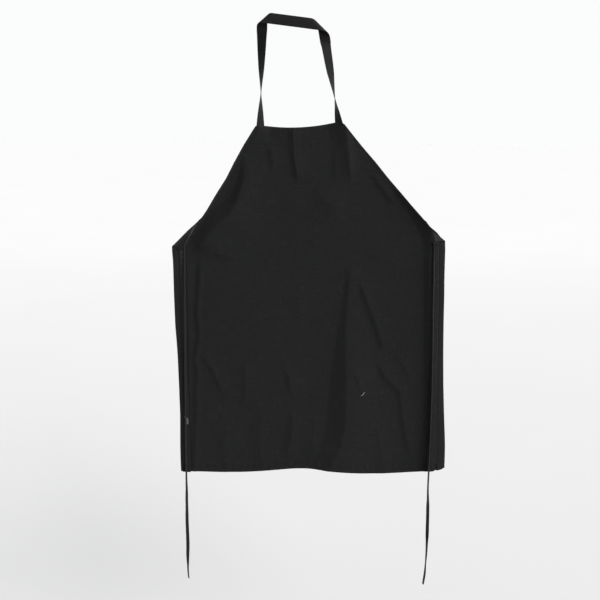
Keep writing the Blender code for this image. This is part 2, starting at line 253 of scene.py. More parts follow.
def make_floor_paint():
    """A pale floor, with painted shade that makes it a little darker near the camera."""
    s = Shader("floor_paint", (0.50, 0.50, 0.50), 0.95, 0.0)
    place = s.place()
    paint = s.mix(s.noise(place, 0.8), (0.492, 0.494, 0.497), (0.508, 0.51, 0.513))
    depth = s.add("ShaderNodeSeparateXYZ", Vector=place).outputs["Y"]
    # Painted shade: the floor's colour darkens towards the camera.
    return s.finish(s.mix(s.span(depth, -1.0, 9.0, 0.86, 1.0), (0.0, 0.0, 0.0), paint))


# Each look is a material and its slot.
CLOTH = make_cloth(), "apron_cloth"
STRAP_TAPE = make_tape("strap_webbing", (1.0, 1.0, 1.04), 300.0, 160.0, 0.07), "strap_webbing"
TIE_TAPE = make_tape("tie_tape", (1.0, 1.02, 1.02), 420.0, 260.0, 0.10), "tie_tape"
THREAD = make_thread(), "thread"
LABEL = make_label_cloth(), "label"
LINT = make_lint(), "thread"

FLOOR_LOW = -1.62
FLOOR_HALF = 60
floor_mesh = bpy.data.meshes.new("floor")
floor_mesh.from_pydata(
    [(FLOOR_HALF * x, FLOOR_HALF * y, FLOOR_LOW) for x, y in ((-1, -1), (1, -1), (1, 1), (-1, 1))],
    [],
    [(0, 1, 2, 3)],
)
floor_mesh.materials.append(make_floor_paint())
floor = bpy.data.objects.new("floor", floor_mesh)
scene.collection.objects.link(floor)

# --- The apron's own plane ---

SIDES = ((-1, "left"), (1, "right"))
TILT = math.radians(1.65)
COS, SIN = math.cos(TILT), math.sin(TILT)
BIB_SHIFT = 16.5  # from the bib's middle to the skirt's
ORIGIN_X = 18.3 + BIB_SHIFT * COS
ORIGIN_Z = -236.9 + BIB_SHIFT * SIN
WAIST = -286.8
LENGTH = 860.0
BIB_SEAM, BOTTOM_SEAM = -45.0, -845.0
ARMHOLE_SEAM = 9.0  # from the armhole's edge
FREE_EDGE = 302.2  # the folded flaps' free edges, from the centre line
FLAP_LENGTH = 573.0
HEM_WIDTH = 17.0  # the bottom hem
STRAP_END = 88.7  # the middle of the strap's sewn end, from the bib's
PANEL_MID = 8.7
THICK = 0.8  # the cloth
ROLL = 1.25  # radius of a pressed fold
HEM_ROLL = 0.9  # and of the flap hem's fold
BIB_HEM_LIFT = 1.5  # it lies over the strap's ends and the armhole hems


def in_world(u, v, y):
    """Points of the apron's plane in the row frame, in mm."""
    u, v, y = np.broadcast_arrays(u, v, y)
    return np.stack([ORIGIN_X + u * COS - v * SIN, y, ORIGIN_Z + u * SIN + v * COS], axis=-1)


def on_apron(u, v, y):
    """The same, from a nominal height v."""
    return in_world(u, v + lean(u, v), y)


def smooth(x):
    x = np.clip(x, 0.0, 1.0)
    return x * x * (3 - 2 * x)


def bell(x, width):
    return np.exp(-((x / width) ** 2))


def distances(line):
    """How far along a polyline each of its points is."""
    return np.concatenate([[0], np.cumsum(np.linalg.norm(np.diff(line, axis=0), axis=1))])


def dense(points, step, window):
    """A smoothed polyline through the points, evenly spaced, with its ends kept."""
    p = np.array(points, float)
    at = distances(p)
    t = np.linspace(0, at[-1], max(8, int(at[-1] / step)))
    line = np.stack([np.interp(t, at, q) for q in p.T], axis=1)
    half = window // 2
    first = 2 * line[0] - line[1 : half + 1][::-1]
    last = 2 * line[-1] - line[-half - 1 : -1][::-1]
    longer = np.concatenate([first, line, last])
    kernel = np.ones(window) / window
    return np.stack([np.convolve(q, kernel, "valid") for q in longer.T], axis=1)


# The hung silhouette, from the bib's corners down
ARMHOLE = {
    -1: [
        (-119.2, -2.7), (-127.6, -14), (-151.6, -50.5), (-173.6, -88), (-194, -125.5),
        (-219.6, -163.5), (-243.5, -201.5), (-254.7, -217.2), (-270.7, -232.5), (-288.6, -247.7),
        (-307.9, -266), (-320, -277.6), (-330.4, -287.4),
    ],
    1: [
        (86.2, 2.7), (101.5, -17), (131.9, -55.5), (164.7, -94.5), (194.5, -133), (227.3, -172),
        (246.2, -195), (261.8, -213.5), (281.3, -236.5), (294.2, -252), (306.2, -262.5),
        (312.4, -268), (317.6, -275.6), (323.5, -281.3), (330.6, -287.2),
    ],
}
ARMHOLE = {side: dense(line, 1, 9) for side, line in ARMHOLE.items()}
SIDE_EDGE = {
    -1: [
        (-330.4, -287.4), (-331.4, -300), (-329.6, -312), (-329.6, -333), (-330.6, -408),
        (-330.6, -483), (-328.6, -530), (-327.7, -558), (-327.2, -635), (-327.2, -712),
        (-329, -760), (-330.4, -800), (-331, -845), (-330.6, -862),
    ],
    1: [
        (330.6, -287.2), (331.4, -300), (330.7, -330), (329.6, -370), (329.2, -421),
        (327.6, -496), (327.1, -571), (327.6, -648), (329.6, -725), (331.9, -790), (332.2, -815),
        (330.7, -862),
    ],
}
SIDE_EDGE = {side: dense(line, 2, 15) for side, line in SIDE_EDGE.items()}
TOP_EDGE = [
    (-119.2, -2.7), (-101.3, -3.6), (-82.3, -6), (-63.2, -7.9), (-44.2, -8.9), (-25.1, -9.1),
    (-6, -8.5), (13, -7.3), (32.1, -5.3), (51.2, -2.4), (68, 0.6), (86.2, 2.7),
]
TOP_EDGE = dense(TOP_EDGE, 2, 9)
HEM_EDGE = [
    (-332, -858.6), (-315.2, -857.6), (-274.7, -859.4), (-234.7, -861.6), (-173.7, -862.1),
    (-133.6, -860.5), (-92.6, -857.6), (-52.4, -854.2), (-20, -854.2), (8, -856.8),
    (48.4, -861.7), (88.3, -866.6), (129.2, -870), (170, -871.6), (210.2, -871.9),
    (270.3, -869.6), (310.4, -865), (333, -858),
]
HEM_EDGE = dense(HEM_EDGE, 3, 11)

for side_line in (ARMHOLE[-1], SIDE_EDGE[-1]):
    side_line[:, 0] -= 1.7
ARMHOLE[1][:, 0] += 0.9 * np.clip((-ARMHOLE[1][:, 1] - 200) / 60, 0, 1)
SIDE_EDGE[1][:, 0] += 0.6
TOP_EDGE[:, 1] += 0.8
HEM_DROP = [-335, -300, -230, 250, 335], [0.4, 2.2, 2.2, 2.6, 4.2]
HEM_EDGE[:, 1] -= np.interp(HEM_EDGE[:, 0], *HEM_DROP)
EDGE = {s: np.concatenate([ARMHOLE[s], SIDE_EDGE[s][1:]]) for s in (-1, 1)}


def on_bib(v):
    """1 at the bib's top, which eases to 0 further down."""
    return 1 - smooth((-np.asarray(v, float) - 52) / 130.0)


def edge_lean(side, v):
    return TOP_EDGE[0 if side < 0 else -1, 1] * on_bib(v)


def edge_u(side, v):
    """The silhouette's u at a nominal height v."""
    line = EDGE[side]
    return np.interp(-(np.array(v, float) + edge_lean(side, v)), -line[:, 1], line[:, 0])


def fold_u(side, v):
    """The edge of the flat cloth, where a pressed fold's roll begins."""
    return edge_u(side, v) - side * ROLL


def lean(u, v):
    """How far the nominal v moves, so that the top and bottom edges follow the cloth."""
    low = np.interp(u, HEM_EDGE[:, 0], HEM_EDGE[:, 1]) + LENGTH
    top = np.interp(u, TOP_EDGE[:, 0], TOP_EDGE[:, 1]) * on_bib(v)
    return top + low * np.exp(-(v + LENGTH) / 60.0)


def to_path(path, u, v):
    """(signed distance, share along) of points from a path; a path running down has +u on its
    positive side."""
    p = np.array(path, float)
    a, b = p[:-1], p[1:]
    lengths = np.linalg.norm(b - a, axis=1)
    start = np.concatenate([[0], np.cumsum(lengths)])
    q = np.stack([u, v], axis=-1)[..., None, :]
    t = np.clip(((q - a) * (b - a)).sum(-1) / lengths**2, 0, 1)
    off = q - (a + (b - a) * t[..., None])
    far = np.linalg.norm(off, axis=-1)
    nearest = far.argmin(-1)[..., None]
    pick = lambda x: np.take_along_axis(x, nearest, -1)[..., 0]
    cross = (b - a)[:, 0] * off[..., 1] - (b - a)[:, 1] * off[..., 0]
    share = (start[:-1] + t * lengths) / start[-1]
    return pick(far) * np.sign(pick(cross)), pick(share)


# Creases whose left side falls away steeply: path, heights, left widths and right widths. Where
# the fall is even, two more values say how much painted shade darkens the side and how much
# painted light lightens its crest.
CREASES = [
    (
        [
            (101, -338), (97.5, -367), (96, -402), (90, -460), (86.5, -520), (86.2, -580),
            (86.5, -640), (84.3, -707), (80, -758), (69.5, -797), (49, -836), (33, -867),
            (28, -900),
        ],
        (3.2, 4.6, 7.5, 12.5, 13.5, 13, 9), (9, 14, 24, 40, 45, 46, 36),
        (34, 50, 90, 110), 0.06, 0,
    ),
    (
        [(119, -372), (131, -403), (145, -444), (157, -474), (171, -521), (186, -566)],
        (4.5, 4), (12, 16), (26, 34),
    ),
    (
        [
            (160, -576), (184, -624), (202, -642), (219.5, -660), (225, -697), (228, -728),
            (237, -777), (251, -840),
        ],
        (3.5, 3.5), (12, 16), (24, 30),
    ),
    ([(107, -602), (113, -620), (127, -659)], (2.4, 2.4), (9, 10), (14, 14)),
    ([(-66, -590), (-54, -625), (-52, -649), (-40, -674)], (3.6, 3.2), (10, 18), (18, 24)),
    ([(-47, -696), (-50, -765), (-66, -840)], (4, 3.4), (14, 24), (26, 40)),
    ([(-162, -570), (-164, -659), (-173, -705)], (2.4, 2.4), (13, 18), (22, 26)),
    ([(-278, -552), (-251, -585), (-224, -646), (-209, -672)], (2.8, 2.4), (9, 14), (14, 20)),
    (
        [(-31, 20), (-32, -30), (-31, -60), (-28, -90), (-25, -115), (-21, -148)],
        (6, 5), (17, 13), (34, 24),
    ),
    ([(-88, -28), (-83, -77), (-81, -118)], (3.2, 3.2), (14, 15), (18, 18)),
    ([(91, 30), (95, -20), (99, -64), (102, -98), (105, -146)], (9, 7), (50, 30), (13, 12)),
    ([(69, -52), (68, -103), (73, -148)], (2.4, 2.4), (14, 15), (14, 16)),
    ([(10, -160), (52, -188), (90, -220)], (4.2, 4.2), (60, 60), (40, 40)),
    ([(146, -110), (184, -160), (220, -206)], (3.6, 3.6), (14, 14), (14, 14)),
    ([(-36, -395), (-24, -440), (-30, -490)], (1.8, 1.8), (34, 38), (40, 44)),
    ([(126, -303), (183, -330), (226, -338)], (1.8, 1.8), (14, 16), (16, 16)),
    ([(205, -560), (236, -604), (252, -644)], (2, 2), (11, 13), (16, 18)),
    ([(-120, -690), (-131, -770), (-126, -868)], (2.4, 3.4), (30, 42), (30, 40)),
    ([(-210, -720), (-221, -790), (-219, -868)], (1.8, 2.6), (26, 30), (24, 30)),
    ([(10, -700), (2, -780), (6, -868)], (2, 3), (30, 38), (26, 36)),
    ([(160, -730), (172, -800), (178, -890)], (1.8, 2.6), (22, 28), (24, 30)),
    (
        [
            (-146, -60), (-147.7, -82.5), (-150.8, -106.3), (-156.3, -130), (-163, -154),
            (-171, -178), (-181, -197), (-192, -214), (-222.5, -237.5), (-244, -261),
            (-257, -278), (-264.6, -295), (-272, -318),
        ],
        (3, 4.5, 6, 7.5, 8.5, 10.5, 10.5, 10, 9, 8, 7),
        (12, 12, 13, 14, 19, 32, 37, 32, 28, 28, 28), (50, 60), 0.46, 0,
    ),
    (
        [
            (196, -132), (225, -168), (250, -199), (272, -226), (286, -245), (296, -264),
            (298, -280), (294.5, -322),
        ],
        (1.5, 4.5, 6.5, 8.5, 8.5, 6.2), (12, 15, 18, 23, 25, 16), (14, 15, 17), 0.3, 0,
    ),
    (
        [
            (298, -280), (294.5, -322), (294.5, -560), (297, -680), (295.5, -780), (289, -840),
            (287, -900),
        ],
        (6.2, 6.2), (14.5, 14.5, 15, 15, 17, 14), (17, 17), 0.18, 1,
    ),
    (
        [(-301, -262), (-301, -300), (-302, -500), (-306, -700), (-310, -900)],
        (3.4, 3.4), (8, 8), (13, 15),
    ),
]
# Steps where the cloth goes back towards its outer side: path, height and width
STEPS = [
    (
        [
            (-150, -82), (-157, -110), (-165, -136), (-176, -163), (-188, -184), (-215, -214),
            (-245, -238), (-263, -261), (-275, -278), (-282, -300),
        ],
        3.6, 12,
    ),
    (
        [
            (-270, -300), (-271, -340), (-278, -418), (-283, -455), (-279, -513), (-291, -572),
            (-287, -608), (-292, -657), (-293, -711), (-300, -790), (-308, -900),
        ],
        2.6, 5,
    ),
]


def ends(path, share, fade=42.0):
    """Fades a crease in and out over the last few centimetres of its path."""
    fade = min(0.4, fade / distances(path)[-1])
    return smooth(share / fade) * smooth((1 - share) / fade)


def along(keys, share):
    return np.interp(share, np.linspace(0, 1, len(keys)), keys)


def crease_painted_shade_and_light(u, v):
    """Painted shade in the even creases' sides; painted light on the crest by the right flap, which
    lifts the shadow of the flap and its tie.
    """
    wear_and_painted_light = np.zeros(u.shape)
    for path, height, left, _, *even in CREASES:
        if even:
            painted_shade, crest_painted_light = even
            d, t = to_path(path, u, v)
            inside = smooth((d + along(left, t)) / 5.0 + 0.5) * smooth(0.5 - d / 5.0)
            wear_and_painted_light -= painted_shade * np.minimum(along(height, t) / 8.0, 1.0) * ends(path, t) * inside
            # Painted light on the crest, where the flap and the tie cast their shadow.
            wear_and_painted_light += crest_painted_light * ends(path, t) * bell(d - 4.5, 4.0)
    return wear_and_painted_light


def edge_distance(u, v):
    """Distance to the left and to the right silhouette."""
    found = []
    for side in (-1, 1):
        line = np.concatenate([ARMHOLE[side][::6], SIDE_EDGE[side][3::10], SIDE_EDGE[side][-1:]])
        found.append(np.abs(to_path(line, u, v)[0]))
    return found


def panel_y(u, v):
    """The middle surface's y in mm at nominal (u, v)."""
    u, v = np.broadcast_arrays(np.asarray(u, float), np.asarray(v, float))
    y = np.full(u.shape, PANEL_MID)
    for path, height, left, right, *even in CREASES:
        d, t = to_path(path, u, v)
        width = np.where(d < 0, along(left, t), along(right, t))
        fall = np.clip(1 + d / width, 0, 1) ** (1.1 if even else 1.5)
        slope = np.exp(-((np.maximum(d, 0) / width) ** (2 if even else 1)))
        y = y - along(height, t) * ends(path, t) * np.where(d < 0, fall, slope)
    for path, height, width in STEPS:
        d, t = to_path(path, u, v)
        step = 0.5 - 0.5 * np.tanh(d / width * 1.6)
        reach = np.exp(-np.maximum(-d - 2 * width, 0) / 30.0)
        y = y + height * (step * reach - 0.35 * bell(d / width - 1.4, 1)) * ends(path, t, 60.0)
    corner = smooth((-v - 205) / 50.0)
    waist = smooth((-v - 240) / 45.0)
    curl = smooth((-v - 20) / 120.0) * (1 - 0.75 * waist)
    shapes = ((4.0, 9.0, 1.2), (5.0, 15.0, 0.8))
    for near, (amount, reach, depth) in zip(edge_distance(u, v), shapes):
        # Above the corner the armhole's edge curls forward.
        y = y - amount * curl * np.exp(-near / reach)
        # Under the flap the cloth hollows back.
        hollow = (near / 27.0) * np.exp(1 - near / 27.0)
        y = y + depth * corner * hollow**2
    # The strap's twist turns each bib corner.
    for side, turn in ((-1, 0.42), (1, -0.34)):
        middle = side * STRAP_END - BIB_SHIFT
        across = np.clip((u - middle), -16, 16)
        inner = smooth((45 - side * (middle - u)) / 30.0)
        y = y + turn * across * inner * np.exp(np.minimum(v, 0) / 20.0)
    # Broad unevenness of cloth that hangs free
    y = y + 1.3 * np.sin(u / 61.0 + 0.7) * np.sin(v / 97.0 + 0.4) * smooth((-v - 60) / 150)
    return y + 2.2 * np.sin(u / 74.0 + 1.9 + v / 300) * np.exp(-(v + LENGTH) / 110.0)


# --- Mesh making ---


class Build:
    """Collects vertices, faces, UVs and a value of wear and painted light, in mm, and makes one
    object.
    """

    def __init__(self):
        self.points, self.faces, self.uvs, self.wear_and_painted_light = [], [], [], []
        self.count = 0

    def add(self, points, faces, uvs=0.0, wear_and_painted_light=0.0):
        points = np.asarray(points, float).reshape(-1, 3)
        self.points.append(points)
        self.uvs.append(np.broadcast_to(uvs, (len(points), 2)))
        self.wear_and_painted_light.append(np.broadcast_to(wear_and_painted_light, len(points)))
        self.faces.extend([tuple(i + self.count for i in f) for f in faces])
        self.count += len(points)

    def shell(self, grid, thick, uv, wear_and_painted_light):
        """A closed thin shell whose middle surface is a grid of rows and columns."""
        rows, cols = grid.shape[:2]
        normal = np.cross(np.gradient(grid, axis=1), np.gradient(grid, axis=0))
        normal /= np.maximum(np.linalg.norm(normal, axis=-1, keepdims=True), 1e-9)
        half = np.broadcast_to(np.asarray(thick, float) / 2, (rows, cols))[..., None]
        both = np.concatenate([grid + normal * half, grid - normal * half])
        n = rows * cols
        idx = np.arange(n).reshape(rows, cols)
        a, b, c, d = idx[:-1, :-1], idx[:-1, 1:], idx[1:, 1:], idx[1:, :-1]
        quads = np.stack([a, d, c, b], axis=-1).reshape(-1, 4)
        ring = np.concatenate([idx[0, :-1], idx[:-1, -1], idx[-1, :0:-1], idx[:0:-1, 0]])
        after = np.roll(ring, -1)
        rim = np.stack([ring, after, after + n, ring + n], axis=-1)
        faces = np.concatenate([quads, quads[:, ::-1] + n, rim]).tolist()
        uv = np.reshape(uv, (-1, 2))
        wear_and_painted_light = np.broadcast_to(wear_and_painted_light, (rows, cols)).reshape(-1)
        # The back faces take 0.4 of the front's painted shade.
        wear_and_painted_light = np.concatenate([wear_and_painted_light, np.where(wear_and_painted_light < 0, 0.4 * wear_and_painted_light, wear_and_painted_light)])
        self.add(both, faces, np.concatenate([uv, uv + 0.37]), wear_and_painted_light)

    def make(self, name, look, body=None, *nodes):
        """The object in its slot, on the body that it rides, and for the CAD nodes it replaces."""
        material, slot = look
        mesh = bpy.data.meshes.new(name)
        mesh.from_pydata((np.concatenate(self.points) * MM).tolist(), [], self.faces)
        mesh.materials.append(material)
        mesh.update()
        layer = mesh.uv_layers.new(name="cloth")
        corner = np.zeros(len(mesh.loops), np.int32)
        mesh.loops.foreach_get("vertex_index", corner)
        uvs = np.concatenate(self.uvs) * MM
        layer.data.foreach_set("uv", uvs[corner].astype(np.float32).reshape(-1))
        wear_and_painted_light = mesh.attributes.new("wear_and_painted_light", "FLOAT", "POINT")
        wear_and_painted_light.data.foreach_set("value", np.concatenate(self.wear_and_painted_light).astype(np.float32))
        mesh.shade_smooth()
        mesh.set_sharp_from_angle(angle=math.radians(50))
        obj = bpy.data.objects.new(name, mesh)
        scene.collection.objects.link(obj)
        if body:
            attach(obj, body)
        if nodes:
            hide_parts(*nodes)
        return obj


def make_shell(grid, thick, uv, wear_and_painted_light, *making):
    """A piece that is one shell; making is what Build.make takes."""
    build = Build()
    build.shell(grid, thick, uv, wear_and_painted_light)
    return build.make(*making)


def edge_frame(line):
    """Unit directions along a polyline."""
    run = np.gradient(line, axis=0)
    return run / np.linalg.norm(run, axis=1, keepdims=True)


def normals(line, way):
    """Unit normals of a (u, v) line, whose u has the sign of way."""
    run = edge_frame(line)
    normal = np.stack([run[:, 1], -run[:, 0]], axis=1)
    return normal * np.sign(normal[:, :1] * way)


def paired(a, b):
    return np.stack(np.broadcast_arrays(a, b), axis=-1)


def half_roll(roll, count):
    """A half turn of cloth: its angles, and how far each is from the edge and from the layer."""
    angles = np.linspace(0, math.pi, count)
    return angles, roll * (1 - np.sin(angles)), roll * (1 - np.cos(angles))


def turned_band(
    build, line, inward, base_y, width, sign, roll, pucker, columns, lift=None, bright=(0.5, 0.12)
):
    """A band turned over an edge: a half roll, then flat cloth running inwards over the layer.

    sign is +1 when it turns to the back and -1 to the front. base_y(u, v) is the layer's own
    surface, pucker a function of (distance inwards, distance along) in mm, lift the flat cloth's
    extra distance from the layer, and bright the wear of the roll and of the flat cloth, which
    also carries painted light and painted shade where a caller gives them.
    """
    lengths = distances(line)[:, None]
    inward = np.broadcast_to(inward, line.shape)
    angles, into, rise = half_roll(roll, 7)
    flat = np.linspace(0, 1, columns + 1)[1:] * (width - roll)
    over = 2 * roll + (0 if lift is None else lift(roll + flat))
    into = np.concatenate([into, roll + flat])
    rise = np.concatenate([rise, np.broadcast_to(over, columns)]) + pucker(into, lengths)
    u, v = np.moveaxis(line[:, None] + inward[:, None] * into[:, None], -1, 0)
    wear_and_painted_light = np.full(u.shape, 0.45)
    wear_and_painted_light[:, :7] = np.reshape(bright[0], (-1, 1))
    wear_and_painted_light[:, 7:-1] = np.reshape(bright[1], (-1, 1))
    run = np.concatenate([roll * angles, math.pi * roll + flat]) + 500
    build.shell(on_apron(u, v, base_y(u, v) + sign * rise), THICK, paired(run, lengths), wear_and_painted_light)


def wavy(seed, size, pitch=13.0):
    """Small puckers along a stitched line: a function of (distance inwards, distance along)."""
    rng = np.random.default_rng(seed)
    phase = rng.uniform(0, 6.28, 5)
    pitches = pitch * rng.uniform(0.7, 1.6, 5)

    def height(into, along):
        total = sum(np.sin(along / p * 6.28 + f) for p, f in zip(pitches, phase))
        return size * total / 3.0 * np.clip(into / 6.0, 0, 1)

    return height


def tube_faces(rings, n):
    """The faces of a closed tube whose points come ring by ring, n to a ring."""
    faces = [tuple(range(n))[::-1]]
    for i in range((rings - 1) * n):
        j = i + 1 if (i + 1) % n else i + 1 - n
        faces.append((i, j, j + n, i + n))
    return faces + [tuple(range((rings - 1) * n, rings * n))]


UP = (0.0, 1.0)  # in the apron's plane
# A stitch's rings: share of its length, of its width and of its rise
STITCH = (0.0, 0.25, 0.0), (0.22, 0.85, 0.75), (0.5, 1.0, 1.0), (0.78, 0.85, 0.75), (1.0, 0.25, 0.0)


def stitches(build, line, surface, sign, spacing=3.3, length=2.5, width=0.55, rise=0.3):
    """Stitches along a nominal (u, v) line; surface(u, v) is the face's y, sign its outward y."""
    at = distances(line)

    def place(distance):
        u, v = (np.interp(distance, at, q) for q in line.T)
        return on_apron(u, v, surface(u, v))

    starts = np.arange(spacing * 0.5, at[-1] - spacing, spacing)
    first = place(starts)
    along = place(starts + length) - first
    size = np.linalg.norm(along, axis=1, keepdims=True)
    along = along / np.maximum(size, 1e-9)
    out = np.array([0.0, sign, 0.0])
    faces = tube_faces(len(STITCH), 4)
    for start, run, long, side in zip(first, along, size, np.cross(along, out)):
        points = []
        for share, wide, high in STITCH:
            centre = start + run * long * share
            half = side * width / 2 * wide
            points += [centre - half, centre + out * rise * high + out * 0.05]
            points += [centre + half, centre - out * 0.12]
        build.add(points, faces)


def sew(build, line, front, back, *how, skip=0):
    """Stitches on both faces of the panel, each at a distance from its face.

    skip is how many of the line's points the back's row leaves out at its start.
    """
    stitches(build, line, lambda u, v: panel_y(u, v) - THICK / 2 - front, -1, *how)
    stitches(build, line[skip:], lambda u, v: panel_y(u, v) + THICK / 2 + back, 1, *how)


# --- Panel ---

ROWS = 236
NEAR = np.array([0, 1.2, 3, 5, 7, 8.2, 9, 9.8, 11, 13, 16, 19.5, 23.5, 27.5, 32.5, 38, 44])


def panel_rows():
    """Nominal heights: closer together at the top, the waist and the hem."""
    v = np.linspace(0, -LENGTH, 4000)
    weight = 1 + 1.2 * np.exp(v / 12) + 1.2 * np.exp(-(v + LENGTH) / 12)
    weight += 1.0 * np.exp(-np.abs(v - WAIST) / 14)
    total = np.cumsum(weight)
    total = (total - total[0]) / (total[-1] - total[0])
    rows = np.interp(np.linspace(0, 1, ROWS), total, v)
    rows[np.abs(rows - WAIST).argmin()] = WAIST
    by_seam = (-2.4, -1.2, 0.0, 1.2, 2.4)
    seams = np.array([seam + d for seam in (BIB_SEAM, BOTTOM_SEAM) for d in by_seam])
    rows = [r for r in rows if np.abs(seams - r).min() > 0.9]
    return np.array(sorted([*rows, *seams], reverse=True))


def make_panel():
    rows = panel_rows()
    first, last = (fold_u(s, rows)[:, None] for s in (-1, 1))
    near = NEAR * np.minimum(1, (last - first) / 260)
    left, right = first + near, last - near[:, ::-1]
    inner = np.linspace(0, 1, 190)[1:-1]
    u = np.concatenate([left, left[:, -1:] + (right[:, :1] - left[:, -1:]) * inner, right], axis=1)
    v = np.broadcast_to(np.clip(rows, ROLL - LENGTH, -ROLL)[:, None], u.shape)
    y = panel_y(u, v)
    # The stitched hems pucker a little.
    both_near = edge_distance(u, v)
    upper = smooth((-v - 4) / 20.0) * smooth((v + 275) / 12.0)
    for near, seed in zip(both_near, (3, 5)):
        ripple = 0.45 * np.sin(v / 2.9 + seed + 1.3 * np.sin(v / 17.0)) * upper
        y = y + ripple * bell(near - ARMHOLE_SEAM, 3.5)
        y = y + 0.35 * upper * bell(near - ARMHOLE_SEAM, 1.2)
    near = np.minimum(*both_near)
    by_hem = v - BOTTOM_SEAM
    by_bib = v - BIB_SEAM
    y = y + 0.5 * np.sin(u / 3.1 + 1.5 * np.sin(u / 23.0)) * bell(by_hem, 5.0)
    y = y + 0.4 * bell(by_hem, 1.5) + 0.45 * bell(by_bib, 1.5)
    y = y + 0.3 * np.sin(u / 3.3 + 2 * np.sin(u / 19.0)) * bell(by_bib, 6.0)
    wear_and_painted_light = np.maximum(0.5 * np.exp(-near / 1.8), 0.5 * np.exp(-(v + LENGTH) / 2.0))
    wear_and_painted_light = np.maximum(wear_and_painted_light, 0.45 * np.exp(v / 2.0))
    # Painted shade darkens the stitched seams' grooves in dashes, and the hem's band below the
    # bottom seam a little.
    seam = 0.55 * bell(by_hem, 1.3) + 0.4 * bell(by_bib, 1.3)
    seam += 0.12 * smooth((-843.0 - v) / 3.0)
    seam += 0.5 * bell(near - ARMHOLE_SEAM, 1.0) * smooth((v + 290) / 10.0)
    dashes = 0.55 + 0.45 * np.sin(u / 1.1) * np.sin(v / 1.1 + 1.0)
    wear_and_painted_light = wear_and_painted_light - seam * dashes + crease_painted_shade_and_light(u, v)
    making = "apron_panel", CLOTH, "panel", "front_panel"
    return make_shell(on_apron(u, v, y), THICK, paired(u, v), wear_and_painted_light, *making)


panel = make_panel()

# Turned hems behind the panel


def armhole_points(side, first, last, step):
    """Points of the armhole's edge and its inward normals, between two heights."""
    line = ARMHOLE[side]
    line = line[(line[:, 1] <= first) & (line[:, 1] >= last)][::step].copy()
    line[:, 1] -= edge_lean(side, line[:, 1])
    return line, normals(line, -side)


for side, name in SIDES:
    build = Build()
    line, inward = armhole_points(side, -2.0, -286.0, 4)
    turned_band(build, line, inward, panel_y, 11.0, 1, ROLL, wavy(11 + side, 0.35), 6)
    build.make(name + "_armhole_hem", CLOTH, "panel", name + "_armhole_binding")


def make_bib_hem():
    _, into, rise = half_roll(ROLL, 7)
    into = np.concatenate([into, np.linspace(ROLL, 48.0, 22)[1:]])
    rise = np.concatenate([rise, np.full(21, 2 * ROLL)]) + BIB_HEM_LIFT * smooth(into / 6.0)
    left, right = edge_u(-1, -into) + 1.0, edge_u(1, -into) - 1.0
    u = left + (right - left) * np.linspace(0, 1, 72)[:, None]
    v = np.broadcast_to(-into, u.shape)
    ripple = 0.25 * np.sin(u / 3.4 + 1.0) * bell(v - BIB_SEAM, 4.0)
    wear_and_painted_light = np.where(into < 2.5, 0.6, 0.1)
    wear_and_painted_light[-1] = 0.5
    grid = on_apron(u, v, panel_y(u, v) + rise + ripple)
    make_shell(grid, THICK, paired(u + 700, v), wear_and_painted_light, "bib_top_hem", CLOTH, "panel", "bib_hem")


def make_bottom_hem():
    line = np.linspace((edge_u(-1, -859) + 3.2, -LENGTH), (edge_u(1, -859) - 1.2, -LENGTH), 200)
    build = Build()
    turned_band(build, line, UP, panel_y, HEM_WIDTH, 1, ROLL, wavy(21, 0.4), 7)
    build.make("bottom_turned_hem", CLOTH, "panel", "bottom_hem")


make_bib_hem()
make_bottom_hem()

# --- Side flaps and folded corners ---


def flap_front(side, v):
    """The free edge's y."""
    if side > 0:
        return 1.9 + 0 * v
    return 3.0 + 2.2 * smooth((WAIST - v - 8) / 50.0) - 2.8 * smooth((-v - 640) / 170.0)


RIDGE = {
    -1: [
        (-270.7, -232.5), (-277, -245), (-284, -257.4), (-290.6, -268.2), (-296, -278.3),
        (-301.5, -287.4),
    ],
    1: [
        (281.3, -236.5), (290.5, -249.6), (295.6, -257.4), (299.5, -265), (302.6, -272.5),
        (304.6, -280), (304.8, -287.2),
    ],
}


def fold_y(side, v):
    """The side fold's y, on the panel."""
    return panel_y(fold_u(side, v), v)


def down_flap(v):
    return (WAIST - v) / FLAP_LENGTH


FREE_DRIFT = (0, 0.08, 0.34, 0.51, 0.69, 0.86, 1), (1.8, 1.2, 0, -1.7, -4.4, -6.4, -8.6)


def free_u(side, v):
    drift = 0.9 * np.sin(v / 83.0 + side) + 0.5 * np.sin(v / 31.0 + 2 * side)
    away = {-1: -7.0 * down_flap(v), 1: np.interp(down_flap(v), *FREE_DRIFT)}[side]
    return side * FREE_EDGE + away + drift * smooth((WAIST - v) / 60.0)


def flap_y(side, v, share):
    """The flap's middle surface; share 0 is the fold and 1 the free edge."""
    start = fold_y(side, v) - 2 * ROLL
    rise = start - flap_front(side, v)
    slow = 1.2 * np.sin(v / 57.0 + 3 * side) * np.sin(math.pi * share * 0.5)
    groove = 0.7 * bell(share - 0.52, 0.05)
    return start - rise * np.clip(share, 0, 1) ** 0.62 + slow + groove


def under_point(side, u, v):
    """The same, by u instead of the share."""
    outer = fold_u(side, v)
    share = np.clip((u - outer) / (free_u(side, v) - outer), 0, 1)
    return flap_y(side, v, share)


def hem_face(side, u, v):
    """The face of the flap's own hem."""
    return under_point(side, u, v) - THICK / 2 - 2 * HEM_ROLL


